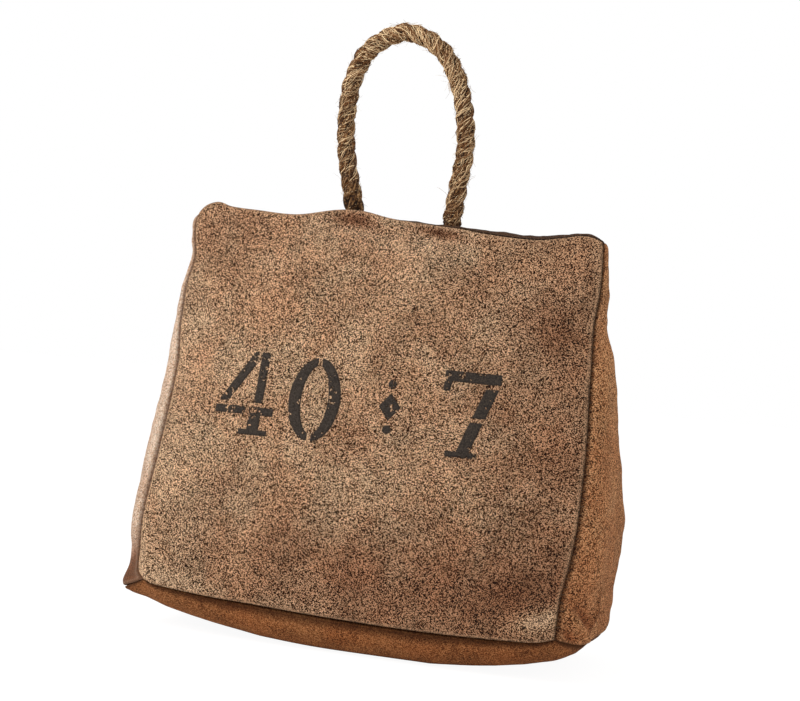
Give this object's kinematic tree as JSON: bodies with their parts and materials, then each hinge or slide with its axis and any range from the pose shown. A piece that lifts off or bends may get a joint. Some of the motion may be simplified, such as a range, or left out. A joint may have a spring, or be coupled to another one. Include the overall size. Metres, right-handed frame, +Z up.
{
  "type": "leather door stop",
  "caption": "Wedge-shaped leather bag filled with sand, with a stiff rope loop through its top and stencilled numerals on its front.",
  "frame": {"origin": "middle of the space that the door stop fills, at floor level", "axes": "+Z up from the floor to the top of the rope loop, +X along the front's width to the right as seen from the front, +Y from the front to the back"},
  "size_m": [0.2772, 0.126, 0.3507],
  "materials": {
    "front_suede": "napped, mottled tan",
    "side_suede": "napped, warm brown",
    "base_suede": "napped, dark brown",
    "jute_rope": "hairy three-strand jute",
    "sack_cloth": "plain woven cotton",
    "stencil_paint": "worn matt black paint"
  },
  "bodies": {
    "root": {"front_panel": "front_suede", "back_panel": "front_suede", "left_gusset": "side_suede", "right_gusset": "side_suede", "base_panel": "base_suede", "top_panel": "side_suede", "rope_handle": "jute_rope", "sand_sack": "sack_cloth", "print_four_1": "stencil_paint", "print_four_2": "stencil_paint", "print_four_3": "stencil_paint", "print_four_4": "stencil_paint", "print_nought_1": "stencil_paint", "print_nought_2": "stencil_paint", "print_ornament_1": "stencil_paint", "print_ornament_2": "stencil_paint", "print_ornament_3": "stencil_paint", "print_seven_1": "stencil_paint", "print_seven_2": "stencil_paint", "print_seven_3": "stencil_paint"}
  },
  "joints": []
}
